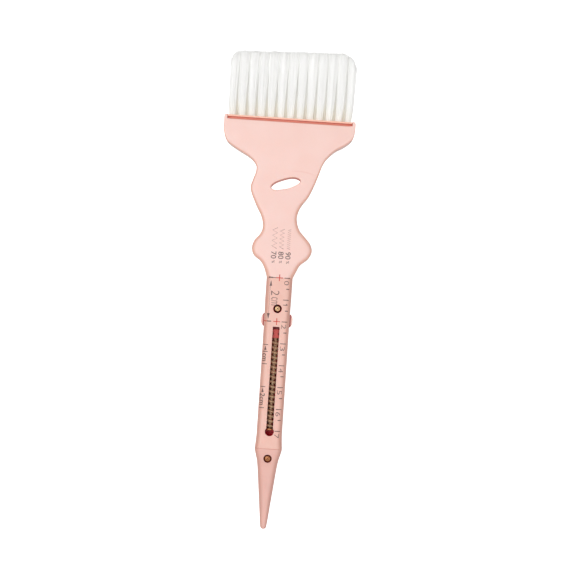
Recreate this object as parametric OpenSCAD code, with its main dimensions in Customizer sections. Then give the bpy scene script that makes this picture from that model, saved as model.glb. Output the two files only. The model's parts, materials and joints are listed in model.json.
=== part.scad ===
// Tint brush with a measuring handle and a spring-loaded slide.
// It lies on its back. +Y runs along the handle to the bristle tips, +X is to the right and +Z comes
// out of the printed front face. A station is a distance along the axis from the tail's tip.

/* [Overall] */
// Station of the longest bristle tips, which is the whole length
length = 220; // [216:1:226]
// Thickness of the barrel and of the head's socket
depth = 10; // [10:0.1:11]

/* [Head] */
// Half the width of the head at its top edge
head_half = 30; // [29.9:0.1:31]
// Station of the head's top edge
head_top = 188.4; // [188:0.1:188.8]
// Radius of the head's two top corners
ear_r = 1.2; // [0.6:0.1:1.4]

/* [Bristles] */
// Tufts in the front row, one more than in the back row
front_tufts = 13; // [5:2:13]
// Distance from one tuft to the next in a row
tuft_pitch = 4.4; // [4.2:0.05:4.4]
// Distance from the front row to the back row
row_gap = 3.6; // [3.5:0.05:3.7]
// Radius of a tuft where it leaves its hole
tuft_root_r = 1.5; // [1.3:0.05:1.5]
// Radius of a tuft at its tips
tuft_tip_r = 2.05; // [1.6:0.05:2.05]
// How much shorter the bristles are at the brush's left side than at its right
tip_drop = 2; // [0:0.25:3]
// Depth of the tuft holes
hole_depth = 6.4; // [5:0.1:7]

/* [Barrel] */
// Half the width of the barrel along its window
barrel_half = 5.85; // [5.75:0.05:5.95]
// Radius of the barrel's long edges
edge_r = 3.1; // [2.4:0.1:3.2]
// Station of the seam between the barrel and the head
barrel_top = 115.4; // [115:0.1:115.6]
// Station of the seam between the barrel and the tail
tail_top = 37.4; // [37:0.1:38]
// Width of the window over the spring
window_w = 3.1; // [2.6:0.1:3.4]

/* [Slide] */
// How far the slide can be pulled towards the tail
travel = 20; // [10:1:21]
// Half the width across the two side tabs
tab_reach = 7.3; // [7:0.1:8.4]
// Length of a side tab along the handle
tab_l = 6.6; // [5.6:0.1:6.8]

/* [Spring] */
// Turns of the return spring
spring_turns = 18; // [12:1:18]
// Thickness of the spring wire
wire_d = 1; // [0.6:0.05:1]
// Radius of the spring to the middle of its wire
spring_r = 1.9; // [1.7:0.05:2.1]

/* [Hidden] */
front_names = [for (i = [1 : front_tufts]) str("tuft_front_", i < 10 ? "0" : "", i)];
back_names = [for (i = [1 : front_tufts - 1]) str("tuft_back_", i < 10 ? "0" : "", i)];

$fn = 48;
eps = 0.01;
mid_z = depth / 2;
blush = [0.97, 0.81, 0.77];
coral = [0.98, 0.70, 0.60];
nylon = [0.97, 0.97, 0.95];
brass = [0.72, 0.56, 0.38];
steel = [0.70, 0.70, 0.72];

// Head outline: [half width, station] from the barrel seam up to the top edge
left_side = [
    [6.0, barrel_top], [7.4, 119.5], [9.3, 122.5], [12.5, 125], [13.65, 128.4], [12.65, 132],
    [10.15, 135.2], [9.3, 138.6], [10.3, 143], [13.5, 149], [16, 155.2], [15.2, 159.5],
    [14.1, 163], [14.2, 166.2], [17.2, 169.5], [23.8, 173.2], [28, 176.2], [29.6, 180],
    [head_half, head_top - 2 * ear_r]
];
right_side = [
    [6.0, barrel_top], [7.6, 119], [9.1, 121.8], [12.3, 124.6], [13.9, 128], [13.05, 131.5],
    [10.4, 134.6], [7.45, 138], [6.1, 143], [7.35, 148], [10.65, 153], [13.05, 158.5],
    [14.9, 164], [16.2, 168], [17.9, 171], [21.4, 174.6], [26.1, 177.6], [29.3, 181],
    [head_half, head_top - 2 * ear_r]
];
// Half thickness of the head: [station, half thickness]
head_side = [
    [barrel_top, mid_z], [121, 4.7], [129, 4.4], [138, 4], [146, 3.8], [158, 3.5], [166, 3.7],
    [173, 4.3], [179, 4.9], [183, mid_z], [head_top, mid_z]
];
// Leaf-shaped hole: [x, station]
leaf = [
    [-6.7, 156.8], [-5.9, 155.6], [-3.8, 155.4], [1, 156.4], [4.7, 158.1], [6.5, 159.9],
    [5.7, 161], [3.5, 161.5], [0.7, 161.1], [-3.1, 159.7], [-5.4, 158.4]
];
curve_steps = 4;

// Socket in the head, and the tuft block that fills it
flange_l = 0.75;
groove_l = 0.95;
flange_top = head_top - 0.3;
groove_top = flange_top - flange_l;
lip = groove_top - groove_l;
trough_half = 28.5;
flange_half = 28.4;
socket_half = 28.1;
socket_deep = 8;
socket_floor = 179.5;
socket_gap = 0.05;
anchor_w = 2.8;
anchor_t = 0.4;
anchor_l = 1.4;
slot_gap = 0.1;
hole_r = tuft_root_r + 0.05;
hole_floor = flange_top - hole_depth;

// Spaces inside the barrel
tang_end = 99.6;
tang_half = 3;
tang_deep = 4.4;
tang_gap = 0.05;
channel_half = 3;
channel_deep = 6.4;
channel_end = 99.5;
well_half = 2.1;
well_end = 40;
tab_t = 2.6;
slot_t = 3;
flare_half = 6.25;
// Half width of the barrel from the tail seam to the head seam: [half width, station]
barrel_plan = [
    [flare_half, tail_top], [barrel_half, 44], [barrel_half, 96], [6, 106], [6, barrel_top]
];
tongue_end = 29.5;
tongue_half = 3;
tongue_deep = 5;
tongue_gap = 0.05;
window_top = 93.1;
keyhole_at = 45.3;
keyhole_r = 2.05;

// Tail: [station, half width, half depth]
tail_rings = [
    [0, 0.7, 0.7], [0.3, 1.1, 1.1], [1, 1.4, 1.4], [2.4, 1.62, 1.6], [6.5, 2.07, 2], [12, 2.65, 2.5],
    [17.4, 3.25, 3], [24.1, 3.95, 3.6], [29.6, 4.6, 4.15], [32.3, 5.1, 4.5], [35, 5.85, 4.85],
    [36.6, 6.2, mid_z], [tail_top, flare_half, mid_z]
];
arc_steps = 7;

// Slide, rod, washer and spring
slide_half = 2.8;
slide_deep = 6;
slide_end = 87.9;
slide_top = 99.3;
tab_r = 2.6;
slot_play = 0.1;
rod_r = 0.8;
rod_play = 0.05;
rod_top = 98.9;
washer_r = 2.9;
washer_t = 0.6;
washer_end = 45.8;
washer_top = washer_end + washer_t;
spring_play = 0.05;
wire_sides = 8;
turn_steps = 16;

// Screws: [station, seat height, shank length, head radius, recess radius]
upper_fix = [101.3, 8.2, 7, 1.4, 2];
lower_fix = [32.9, 8.3, 5, 1.3, 1.9];
shank_r = 0.8;
pass_r = 0.95;
head_h = 1;
cross_w = 0.4;
cross_l = 1.7;
cross_deep = 0.5;
blind_gap = 0.2;

// Point at t, from 0 to 1, on the smooth curve from b to c
function bend(a, b, c, d, t) =
    b + t / 2 * (c - a + t * (2 * a - 5 * b + 4 * c - d + t * (3 * (b - c) + d - a)));

// Smooth curve through an open list of points
function smooth(p) = [
    for (i = [0 : len(p) - 2], j = [0 : curve_steps - (i == len(p) - 2 ? 0 : 1)])
        bend(p[max(i - 1, 0)], p[i], p[i + 1], p[min(i + 2, len(p) - 1)], j / curve_steps)
];

// Smooth curve through a closed ring of points
function smooth_ring(p) = let (n = len(p)) [
    for (i = [0 : n - 1], j = [0 : curve_steps - 1])
        bend(p[(i + n - 1) % n], p[i], p[(i + 1) % n], p[(i + 2) % n], j / curve_steps)
];

function reversed(p) = [for (i = [len(p) - 1 : -1 : 0]) p[i]];

// Rounded top corner of the head, from its side to its top edge
ear = [
    for (t = [0 : 15 : 90])
        [head_half - ear_r + ear_r * cos(t), head_top - ear_r + ear_r * sin(t)]
];

// Ring of a rounded rectangle across the axis
function ring(s, a, b) = let (r = min(edge_r, 0.96 * min(a, b))) [
    for (q = [0 : 3], j = [0 : arc_steps])
        let (t = 90 * q + 90 * j / arc_steps)
        let (cx = (q == 0 || q == 3 ? 1 : -1) * (a - r))
        let (cz = (q < 2 ? 1 : -1) * (b - r))
        [cx + r * cos(t), s, mid_z + cz + r * sin(t)]
];

// Ring number i of the spring wire
function wire_ring(i, low, high) =
    let (turns = spring_turns, steps = turns * turn_steps)
    let (t = 360 * turns * i / steps)
    let (s = low + (high - low) * i / steps)
    let (out = [cos(t), 0, sin(t)])
    [
        for (k = [0 : wire_sides - 1])
            let (u = 360 * k / wire_sides)
            [0, s, mid_z] + out * (spring_r + wire_d / 2 * cos(u)) + [0, wire_d / 2 * sin(u), 0]
    ];

// Joins rings of points into one closed solid
module loft(rings) {
    n = len(rings[0]);
    last = len(rings) - 1;
    sides = [
        for (i = [0 : last - 1], k = [0 : n - 1])
            let (a = i * n + k, b = i * n + (k + 1) % n)
            for (f = [[a, b, b + n], [a, b + n, a + n]]) f
    ];
    ends = [[for (k = [n - 1 : -1 : 0]) k], [for (k = [0 : n - 1]) last * n + k]];
    polyhedron([for (r = rings) each r], concat(sides, ends));
}

// Puts a part drawn by stations into the brush's own frame
module placed() {
    translate([0, -length / 2, 0]) children();
}

// Extrudes an outline of x and z along the axis, between two stations
module along(low, high) {
    translate([0, high, mid_z]) rotate([90, 0, 0]) linear_extrude(high - low) children();
}

// A block along the axis, centred on it
module bar(half_w, deep, low, high) {
    translate([-half_w, low, mid_z - deep / 2]) cube([2 * half_w, high - low, deep]);
}

// Rectangle with true round corners
module rounded(w, h, r) {
    square([w - 2 * r, h], center = true);
    square([w, h - 2 * r], center = true);
    for (x = [-1, 1], y = [-1, 1]) {
        translate([x * (w / 2 - r), y * (h / 2 - r)]) circle(r);
    }
}

// Upright hole or pin at a station, from low to high
module upright(station, r, low, high) {
    translate([0, station, low]) cylinder(r = r, h = high - low);
}

module head_paddle() {
    left = [for (p = concat(smooth(left_side), ear)) [-p[0], p[1]]];
    right = concat(smooth(right_side), ear);
    side = smooth(head_side);
    profile = concat(
        [for (p = side) [p[0], mid_z + p[1]]],
        reversed([for (p = side) [p[0], mid_z - p[1]]])
    );
    color(blush) placed() difference() {
        union() {
            intersection() {
                linear_extrude(depth) polygon(concat(left, reversed(right)));
                translate([-2 * head_half, 0, 0]) rotate([90, 0, 90])
                    linear_extrude(4 * head_half) polygon(profile);
            }
            bar(tang_half - tang_gap, tang_deep - 2 * tang_gap, tang_end, barrel_top + 1);
        }
        translate([0, 0, -1]) linear_extrude(depth + 2) polygon(smooth_ring(leaf));
        bar(socket_half, socket_deep, socket_floor, lip + 1);
        bar(trough_half, depth + 2, lip, head_top + 1);
        upright(upper_fix[0], pass_r, 0, depth);
    }
}

module bristle_block() {
    half = socket_half - socket_gap;
    deep = socket_deep - 2 * socket_gap;
    color(coral) placed() difference() {
        union() {
            bar(half, deep, socket_floor + socket_gap, flange_top);
            bar(flange_half, depth, groove_top, flange_top);
        }
        at_tufts() translate([0, 0, hole_floor]) cylinder(r = hole_r, h = hole_depth + 1);
    }
}

// Number of tufts in a row, a tuft's x, the station of its tips and its height
function row_count(row) = row == "front" ? front_tufts : front_tufts - 1;
function tuft_x(row, i) = (i - (row_count(row) - 1) / 2) * tuft_pitch;
function tip_at(x) = length - tip_drop * (0.5 - x / (front_tufts - 1) / tuft_pitch);
function tuft_z(row) = mid_z + (row == "front" ? 1 : -1) * row_gap / 2;

// Draws its child at one tuft, with the child's own +Z along the bristles
module at_tuft(row, i) {
    translate([tuft_x(row, i), 0, tuft_z(row)]) rotate([-90, 0, 0]) children();
}

module at_tufts() {
    for (row = ["front", "back"], i = [0 : row_count(row) - 1]) {
        at_tuft(row, i) children();
    }
}

// A flat metal clip that holds each tuft at the bottom of its hole
module anchor(gap = 0) {
    low = hole_floor + slot_gap - gap;
    translate([-anchor_w / 2 - gap, -anchor_t / 2 - gap, low])
        cube([anchor_w + 2 * gap, anchor_t + 2 * gap, anchor_l + 2 * gap]);
}

module tuft_anchors() {
    color(steel) placed() at_tufts() anchor();
}

module tuft(row, i) {
    color(nylon) placed() at_tuft(row, i) difference() {
        union() {
            translate([0, 0, hole_floor]) cylinder(r = tuft_root_r, h = hole_depth);
            translate([0, 0, flange_top])
                cylinder(r1 = tuft_root_r, r2 = tuft_tip_r, h = tip_at(tuft_x(row, i)) - flange_top);
        }
        translate([0, 0, -slot_gap]) anchor(slot_gap);
    }
}

// Barrel with its flared lower end, and the tongue, still without the spaces inside
module barrel_body() {
    right = reversed(barrel_plan);
    left = [for (p = barrel_plan) [-p[0], p[1]]];
    intersection() {
        along(tail_top, barrel_top) rounded(2 * flare_half, depth, edge_r);
        linear_extrude(depth) polygon(concat(left, right));
    }
    bar(tongue_half - tongue_gap, tongue_deep - 2 * tongue_gap, tongue_end, tail_top + 1);
}

// Everything that is open inside the two shells
module barrel_spaces() {
    slot_low = slide_top - tab_l - travel - slot_play;
    bar(tang_half, tang_deep, channel_end - eps, barrel_top + 1);
    bar(channel_half, channel_deep, washer_end, channel_end);
    bar(well_half, channel_deep, well_end, washer_end + eps);
    bar(2 * barrel_half, slot_t, slot_low, slide_top + slot_play);
}

module front_shell() {
    color(blush) placed() difference() {
        intersection() {
            barrel_body();
            translate([-tab_reach, 0, mid_z]) cube([2 * tab_reach, length, depth]);
        }
        barrel_spaces();
        translate([-window_w / 2, keyhole_at, mid_z])
            cube([window_w, window_top - keyhole_at, depth]);
        upright(keyhole_at, keyhole_r, mid_z, depth + 1);
        upright(upper_fix[0], pass_r, mid_z, depth + 1);
        upright(upper_fix[0], upper_fix[4], upper_fix[1], depth + 1);
        upright(lower_fix[0], pass_r, mid_z - 1, depth + 1);
    }
}

module back_shell() {
    color(blush) placed() difference() {
        intersection() {
            barrel_body();
            translate([-tab_reach, 0, -1]) cube([2 * tab_reach, length, mid_z + 1]);
        }
        barrel_spaces();
        for (fix = [upper_fix, lower_fix]) {
            upright(fix[0], shank_r, fix[1] - fix[2] - blind_gap, depth);
        }
    }
}

module tail() {
    color(blush) placed() difference() {
        loft([for (r = tail_rings) ring(r[0], r[1], r[2])]);
        bar(tongue_half, tongue_deep, tongue_end - blind_gap, tail_top + 1);
        upright(lower_fix[0], pass_r, mid_z, depth + 1);
        upright(lower_fix[0], lower_fix[4], lower_fix[1], depth + 1);
    }
}

// Pan-head screw with a cross recess
module screw(fix) {
    top = fix[1] + head_h;
    color(brass) placed() difference() {
        union() {
            upright(fix[0], shank_r, fix[1] - fix[2], fix[1]);
            upright(fix[0], fix[3], fix[1], top);
        }
        for (turn = [0, 90]) {
            translate([0, fix[0], top]) rotate(turn + 45)
                cube([cross_l, cross_w, 2 * cross_deep], center = true);
        }
    }
}

module upper_screw() {
    screw(upper_fix);
}

module lower_screw() {
    screw(lower_fix);
}

module slide() {
    tab_mid = slide_top - tab_l / 2;
    color(blush) placed() difference() {
        union() {
            bar(slide_half, slide_deep, slide_end, slide_top);
            translate([0, tab_mid, mid_z - tab_t / 2])
                linear_extrude(tab_t) rounded(2 * tab_reach, tab_l, tab_r);
        }
        along(slide_end - 1, slide_top + 1) circle(rod_r + rod_play);
    }
}

module return_spring() {
    low = washer_top + wire_d / 2 + spring_play;
    high = slide_end - wire_d / 2 - spring_play;
    color(brass) placed()
        loft([for (i = [0 : spring_turns * turn_steps]) wire_ring(i, low, high)]);
}

module guide_rod() {
    color(steel) placed() along(washer_end, rod_top) circle(rod_r);
}

module spring_washer() {
    color(brass) placed() along(washer_end, washer_top) difference() {
        circle(washer_r);
        circle(rod_r);
    }
}

head_paddle();
bristle_block();
tuft_anchors();
for (i = [0 : front_tufts - 1]) {
    tuft("front", i);
}
for (i = [0 : front_tufts - 2]) {
    tuft("back", i);
}
front_shell();
back_shell();
tail();
upper_screw();
lower_screw();
slide();
return_spring();
guide_rod();
spring_washer();
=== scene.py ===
"""Looks of the tint brush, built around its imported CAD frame.

Shapes are drawn in millimetres at (x, station, z), where a station is the distance along the axis from the
tail's tip, and are put into the frame, in metres, when a piece is finished.
"""

import json
import math
import random

import bmesh
import bpy
import numpy as np
from mathutils import Matrix, Vector
from mathutils.geometry import delaunay_2d_cdt


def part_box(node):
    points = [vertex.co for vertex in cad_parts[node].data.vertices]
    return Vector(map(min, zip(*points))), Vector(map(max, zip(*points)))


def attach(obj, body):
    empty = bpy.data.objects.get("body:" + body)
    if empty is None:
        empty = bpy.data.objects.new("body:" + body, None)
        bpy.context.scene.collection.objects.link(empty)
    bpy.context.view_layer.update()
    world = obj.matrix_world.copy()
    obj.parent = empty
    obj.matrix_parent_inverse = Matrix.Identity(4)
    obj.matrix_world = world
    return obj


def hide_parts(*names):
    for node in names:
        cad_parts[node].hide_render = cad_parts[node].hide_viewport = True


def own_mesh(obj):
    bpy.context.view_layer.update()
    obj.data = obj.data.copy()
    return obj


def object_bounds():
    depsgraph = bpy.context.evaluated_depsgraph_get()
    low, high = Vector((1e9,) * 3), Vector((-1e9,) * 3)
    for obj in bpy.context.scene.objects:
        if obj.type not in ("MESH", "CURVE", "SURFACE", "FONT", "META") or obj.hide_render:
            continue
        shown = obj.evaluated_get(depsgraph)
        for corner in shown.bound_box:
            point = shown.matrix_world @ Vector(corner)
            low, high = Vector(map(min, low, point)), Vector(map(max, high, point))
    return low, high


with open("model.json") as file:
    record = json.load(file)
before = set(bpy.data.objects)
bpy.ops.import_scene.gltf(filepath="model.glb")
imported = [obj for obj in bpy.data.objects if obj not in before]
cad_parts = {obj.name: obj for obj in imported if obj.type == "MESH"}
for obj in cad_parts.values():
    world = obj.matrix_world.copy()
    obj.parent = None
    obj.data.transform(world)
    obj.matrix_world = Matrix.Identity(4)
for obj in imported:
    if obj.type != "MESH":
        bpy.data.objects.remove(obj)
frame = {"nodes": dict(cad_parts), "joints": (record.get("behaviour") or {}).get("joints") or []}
CAD_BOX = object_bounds()

MM = 0.001
TAIL_TIP_Y = CAD_BOX[0].y
TO_FRAME = Matrix.Translation((0, TAIL_TIP_Y, 0)) @ Matrix.Diagonal((MM, MM, MM, 1))


def node_span(node):
    """Lowest and highest (x, station, z) of a CAD node, in millimetres."""
    low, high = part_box(node)
    back = TO_FRAME.inverted()
    return back @ low, back @ high


# ---- sizes, from the frame where it has them
LENGTH = node_span("tuft_front_13")[1].y
TIP_DROP = LENGTH - node_span("tuft_front_01")[1].y
DEPTH = node_span("bristle_block")[1].z
MID_Z = DEPTH / 2
BARREL_TOP = node_span("front_shell")[1].y
TAIL_TOP = node_span("tail")[1].y
HEAD_HALF = node_span("head_paddle")[1].x
HEAD_TOP = node_span("head_paddle")[1].y
FLARE_HALF = node_span("tail")[1].x
SLIDE_END = node_span("slide")[0].y
SLIDE_TOP = node_span("slide")[1].y
WASHER_END = node_span("spring_washer")[0].y
WASHER_TOP = node_span("spring_washer")[1].y
FLANGE_TOP = node_span("bristle_block")[1].y
TANG_END = node_span("head_paddle")[0].y
TONGUE_END = node_span("front_shell")[0].y
TRAVEL = frame["joints"][0]["range_m"][1] / MM
UPPER_SCREW_AT = sum(end.y for end in node_span("upper_screw")) / 2
LOWER_SCREW_AT = sum(end.y for end in node_span("lower_screw")) / 2

# The head's outline: (half width, station), from the barrel seam to the top corners
LEFT_SIDE = [
    (6.0, BARREL_TOP), (7.4, 119.5), (9.3, 122.5), (12.5, 125), (13.65, 128.4), (12.65, 132),
    (10.15, 135.2), (9.3, 138.6), (10.3, 143), (13.5, 149), (16, 155.2), (15.2, 159.5),
    (14.1, 163), (14.2, 166.2), (17.2, 169.5), (23.8, 173.2), (28, 176.2), (29.6, 180),
    (HEAD_HALF, HEAD_TOP - 2.4),
]
RIGHT_SIDE = [
    (6.0, BARREL_TOP), (7.6, 119), (9.1, 121.8), (12.3, 124.6), (13.9, 128), (13.05, 131.5),
    (10.4, 134.6), (7.45, 138), (6.1, 143), (7.35, 148), (10.65, 153), (13.05, 158.5),
    (14.9, 164), (16.2, 168), (17.9, 171), (21.4, 174.6), (26.1, 177.6), (29.3, 181),
    (HEAD_HALF, HEAD_TOP - 2.4),
]
# Half thickness of the head: (station, half thickness)
HEAD_SIDE = [
    (BARREL_TOP, MID_Z), (121, 4.7), (129, 4.4), (138, 4), (146, 3.8), (158, 3.5), (166, 3.7),
    (173, 4.3), (179, 4.9), (183, MID_Z), (HEAD_TOP, MID_Z),
]
# Rounding of the head's edges: (station, radius)
HEAD_EDGE = [
    (110, 2.9), (117, 2.9), (122, 2.5), (132, 2.2), (146, 2.0), (156, 1.5), (166, 1.0),
    (178, 0.8), (184.4, 0.4), (186, 0.2), (190, 0.2),
]
# The same along the back, where it is fuller
HEAD_BACK_EDGE = [
    (110, 2.9), (117, 2.9), (124, 2.4), (172, 2.4), (178, 2), (183, 0.8), (186, 0.2), (190, 0.2),
]
LEAF = [
    (-6.7, 156.8), (-5.9, 155.6), (-3.8, 155.4), (1, 156.4), (4.7, 158.1), (6.5, 159.9),
    (5.7, 161), (3.5, 161.5), (0.7, 161.1), (-3.1, 159.7), (-5.4, 158.4),
]
LEAF_EDGE, LIP_EDGE = 0.45, 0.6
EAR_R = 1.2
TROUGH_HALF, FLANGE_HALF = 28.5, 28.4
FLANGE_L, GROOVE_L = 0.75, 0.95
GROOVE_TOP = FLANGE_TOP - FLANGE_L
LIP = GROOVE_TOP - GROOVE_L
SOCKET_HALF, SOCKET_DEEP, SOCKET_FLOOR = 28.1, 8, 179.5
TANG_HALF, TANG_DEEP = 3, 4.4
FIT_GAP, OVERLAP = 0.05, 0.02
# Degrees between two faces, over which a piece with flat faces has a crease
FLAT_CREASE = 32

# Barrel: half width at the seams and along the window, and the spaces inside
BARREL_HALF, UPPER_HALF, EDGE_R = 5.85, 6.0, 2.8
FLARE_FROM, SWELL = 44, (96, 99, 103, 106)
CHANNEL_HALF, CHANNEL_DEEP, CHANNEL_END = 3, 6.4, 99.5
WELL_HALF, WELL_END = 2.1, 40
TONGUE_HALF, TONGUE_DEEP = 3, 5
WINDOW_W, WINDOW_TOP, WINDOW_R = 3.1, 93.1, 0.35
KEYHOLE_AT, KEYHOLE_R = 45.3, 2.05
SLOT_HALF, SLOT_T, SLOT_ROOM, TAB_L = 10, 3, 0.1, 6.6
SHANK_R, PASS_R = 0.8, 0.95
UPPER_SEAT, UPPER_SHANK, UPPER_HEAD_R, UPPER_RECESS_R = 8.2, 7, 1.4, 2
LOWER_SEAT, LOWER_SHANK, LOWER_HEAD_R, LOWER_RECESS_R = 8.3, 5, 1.42, 1.9
SCREW_HEAD_H, FLANGE_PAST, DOME_R, SCREW_SIDES = 1, 0.45, 0.5, 24
THREAD_PITCH, THREAD_ROOT_R = 0.7, 0.62
CROSS_HALF, CROSS_W, CROSS_DEEP = 0.7, 0.26, 0.3

# Tail: (station, half width, half depth)
TAIL_RINGS = [
    (0, 0.7, 0.7), (0.3, 1.1, 1.1), (1, 1.4, 1.4), (2.4, 1.62, 1.6), (6.5, 2.07, 2), (12, 2.65, 2.5),
    (17.4, 3.25, 3), (24.1, 3.95, 3.6), (29.6, 4.6, 4.15), (32.3, 5.1, 4.5), (35, 5.85, 4.85),
    (36.6, 6.2, MID_Z), (TAIL_TOP, FLARE_HALF, MID_Z),
]

# Seam lines, and the groove across the slide's nose
TAIL_SEAM, HEAD_SEAM = 0.11, 0.06
NOSE_GROOVE = (91.9, 93.6)
# Bites in the two sides of the nose: (station, radius)
NOSE_BITES = [(92.5, 0.8), (89.8, 0.6)]

# Spring
SPRING_TURNS, SPRING_R, WIRE_R = 18, 1.9, 0.56
SPRING_STEPS, SPRING_SIDES = 36, 12

# Bristles
FRONT_TUFTS, TUFT_PITCH, ROW_GAP = 13, 4.4, 3.6
TUFT_ROOT_R, TUFT_TIP_R, TUFT_OPENS_OVER = 1.5, 2.45, 28
FAN, FANS_OVER = 0.024, 12
TUFT_LEAN = (0.12, 0.1)
FILAMENTS, FILAMENT_R, FILAMENT_SIDES = 110, 0.1, 5
GOLDEN_ANGLE = math.pi * (3 - math.sqrt(5))
# A filament's end is this size and length, ends this far under the tips, and sways and strays this much
FILAMENT_END, FILAMENT_END_L, TIP_SHORT, TIP_UNEVEN = 0.55, 0.06, 0.05, 0.1
FILAMENT_SWAY, STRAY = 0.05, (-0.15, 0.4)
# Filaments further out than this share of a tuft start at the block, the others this far under the tips
OUTER_FROM, INNER_L = 0.82, 9
# A tuft's dense core starts above its staple, stops under the tips, and is slimmer and ribbed
CORE_SIDES, CORE_ROOT, CORE_SHORT, CORE_IN, CORE_RIBS = 44, 2, 1.3, 0.1, 0.035
# The row's two top corners are round, and its outer sides a little flat
TIP_CORNER_LEFT, TIP_CORNER_RIGHT, TIP_EDGE = 4.5, 7.5, 28.6
FLAT_SIDE = 28.4

# Painted shade of a faint sink line on the head: an arc's middle (x, station), radius, half width, span in
# x, and fade
CREASE_MIDDLE, CREASE_R, CREASE_W, CREASE_SPAN, CREASE_FADE = (5.5, 144), 20.4, 0.5, (1.5, 14), 3
CREASE_DARK = 0.4

# Printed marks
ZERO_AT, CM, HALF_CENTIMETRES = 115.4, 9.96, 15
TWO_AT = ZERO_AT - 2 * CM
CM_LINE, HALF_LINE, GAUGE_LINE = (2.3, 4.8), (3.4, 4.75), (-5.4, -3.2)
# Each gauge: its words, and the stations of its two lines
SHORT_GAUGES = [("1cm", 76.0, 84.8), ("2cm", 56.0, 65.6)]
# Each lobe's number, its x, and the pitch and reach of the wave above it
LOBE_MARKS = [("70", -3.4, 2.4, 1.15), ("80", -0.1, 1.8, 1.0), ("90", 3.15, 0.9, 0.7)]
NUMBERS_AT, PERCENTS_AT, WAVES_FROM, WAVE_L = 125.65, 122.6, 128.6, 9
# How much thinner than its font a word is printed
THIN, SEMI_BOLD, BOLD = 0.012, -0.004, -0.01
INK_OUT = 0.01
FACE = DEPTH - 2 * INK_OUT


# ---- curves
def smooth_curve(points, steps=8, closed=False):
    """A smooth curve through the points, as the CAD source draws it."""
    p = np.array(points, float)
    q = np.concatenate([p[-1:], p, p[:2]] if closed else [p[:1], p, p[-1:]])
    made = []
    for a, b, c, d in zip(q, q[1:], q[2:], q[3:]):
        for t in np.arange(steps) / steps:
            bend = 2 * a - 5 * b + 4 * c - d + t * (3 * (b - c) + d - a)
            made.append(b + t / 2 * (c - a + t * bend))
    if not closed:
        made.append(p[-1])
    return np.array(made)


def arc(cx, cy, r, start, end, steps=8):
    """Points on a round arc, from one angle to the other, in degrees."""
    return [
        (cx + r * math.cos(math.radians(t)), cy + r * math.sin(math.radians(t)))
        for t in np.linspace(start, end, steps + 1)
    ]


def rounded_box(low_x, high_x, low_y, high_y, r):
    """Outline of a rectangle with round corners."""
    xs, ys = (low_x + r, high_x - r), (low_y + r, high_y - r)
    corners = [(1, 0, -90), (1, 1, 0), (0, 1, 90), (0, 0, 180)]
    return [p for i, j, turn in corners for p in arc(xs[i], ys[j], r, turn, turn + 90)]


def unit(rows):
    """Rows of numbers, each scaled to a length of 1."""
    return rows / np.linalg.norm(rows, axis=1)[:, None]


def offset_loop(loop, distance):
    """The closed loop moved to its left by a distance for each point, with square corners kept."""
    along = unit(np.roll(loop, -1, 0) - loop)
    left = np.c_[-along[:, 1], along[:, 0]]
    both = unit(left + np.roll(left, 1, 0))
    mitre = 1 / np.clip((both * left).sum(1), 0.4, 1)
    return loop + both * (distance * mitre)[:, None]


def inside(points, loop):
    """For each point, whether it lies inside the closed loop."""
    x, y = points.T[:, :, None]
    (ax, ay), (bx, by) = loop.T, np.roll(loop, -1, 0).T
    with np.errstate(divide="ignore", invalid="ignore"):
        crossing = ax + (y - ay) * (bx - ax) / (by - ay)
    return (((ay > y) != (by > y)) & (x < crossing)).sum(1) % 2 == 1


def distance_to(points, loop):
    """Each point's distance to the closed loop's corners."""
    gaps = points[:, None] - loop[None]
    return np.sqrt((gaps**2).sum(2)).min(1)


# ---- solids, in millimetres
def in_scene(name, data):
    """A new object in the scene."""
    made = bpy.data.objects.new(name, data)
    bpy.context.scene.collection.objects.link(made)
    return made


def around(n):
    """Angles evenly round a circle."""
    return np.linspace(0, 2 * math.pi, n, endpoint=False)


def solid(points, faces):
    """A loose mesh object with its faces turned outwards."""
    mesh = bpy.data.meshes.new("solid")
    mesh.from_pydata([tuple(map(float, p)) for p in points], [], [list(map(int, f)) for f in faces])
    bm = bmesh.new()
    bm.from_mesh(mesh)
    bmesh.ops.recalc_face_normals(bm, faces=bm.faces)
    bm.to_mesh(mesh)
    bm.free()
    return in_scene("solid", mesh)


def ring_faces(rings, n, start=0, closed_ends=True):
    """Faces of a tube over a number of rings, each of n points, whose first point is number start."""
    faces = []
    for i in range(start, start + (rings - 1) * n, n):
        for k in range(n):
            a, b = i + k, i + (k + 1) % n
            faces.append((a, b, b + n, a + n))
    if closed_ends:
        faces.append(range(start + n - 1, start - 1, -1))
        faces.append(range(start + (rings - 1) * n, start + rings * n))
    return faces


def skin(rings, closed_ends=True):
    """A solid through rings of points that all have the same count."""
    faces = ring_faces(len(rings), len(rings[0]), closed_ends=closed_ends)
    return solid(np.concatenate(rings), faces)


def prism(outline, low, high):
    """An upright solid over an outline of (x, station), from one height to another."""
    return skin([[(x, s, z) for x, s in outline] for z in (low, high)])


def upright(station, r, low, high, steps=56, x=0):
    """An upright cylinder, on the brush's middle line or beside it."""
    return prism(arc(x, station, r, 0, 360, steps)[:-1], low, high)


def bar(half_w, low_z, high_z, low, high):
    """A box across the middle line, from one height and station to another."""
    return prism([(-half_w, low), (half_w, low), (half_w, high), (-half_w, high)], low_z, high_z)


def inner_bar(half_w, half_d, low, high):
    """A box round the brush's axis, from one station to another."""
    return bar(half_w, MID_Z - half_d, MID_Z + half_d, low, high)


def final_mesh(piece):
    """A new mesh of a piece, as its modifiers or its text make it."""
    graph = bpy.context.evaluated_depsgraph_get()
    graph.update()
    return bpy.data.meshes.new_from_object(piece.evaluated_get(graph))


def settle(piece):
    """Applies a piece's modifiers to its mesh."""
    mesh = final_mesh(piece)
    piece.modifiers.clear()
    old, piece.data = piece.data, mesh
    bpy.data.meshes.remove(old)
    return piece


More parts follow.
